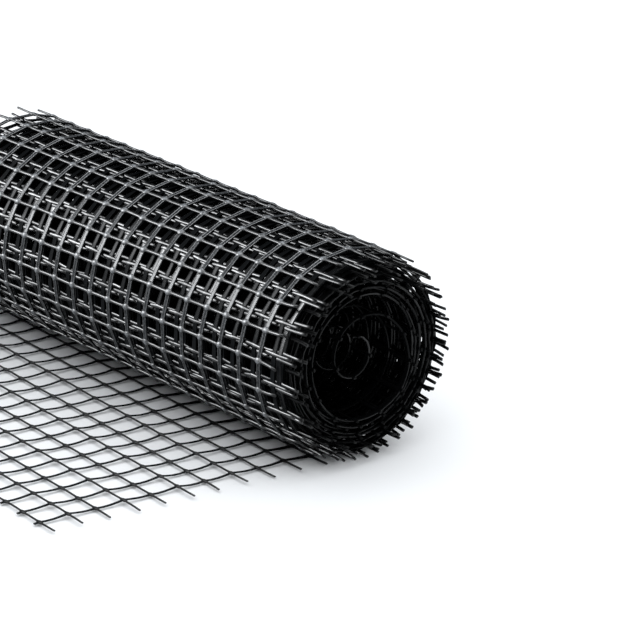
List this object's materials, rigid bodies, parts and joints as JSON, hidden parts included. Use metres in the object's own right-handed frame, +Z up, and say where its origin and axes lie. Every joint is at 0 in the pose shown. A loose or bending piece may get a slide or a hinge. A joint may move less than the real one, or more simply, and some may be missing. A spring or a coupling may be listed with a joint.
{
  "type": "roll of plastic fence mesh",
  "caption": "Black plastic square-mesh fence net wound into a loose roll with a hollow core, its outer end rolled out flat on the floor.",
  "frame": {"origin": "on the floor, at the centre of the roll's flat spot, under the middle of its length", "axes": "+X along the roll's axis towards its open near end, +Z up, the loose end towards -Y"},
  "size_m": [0.4241, 0.2965, 0.1387],
  "materials": {
    "black_net": "satin black extruded polyethylene"
  },
  "bodies": {
    "root": {"wound_roll": "black_net", "near_cut_edge": "black_net", "far_cut_edge": "black_net", "loose_end": "black_net"}
  },
  "joints": []
}
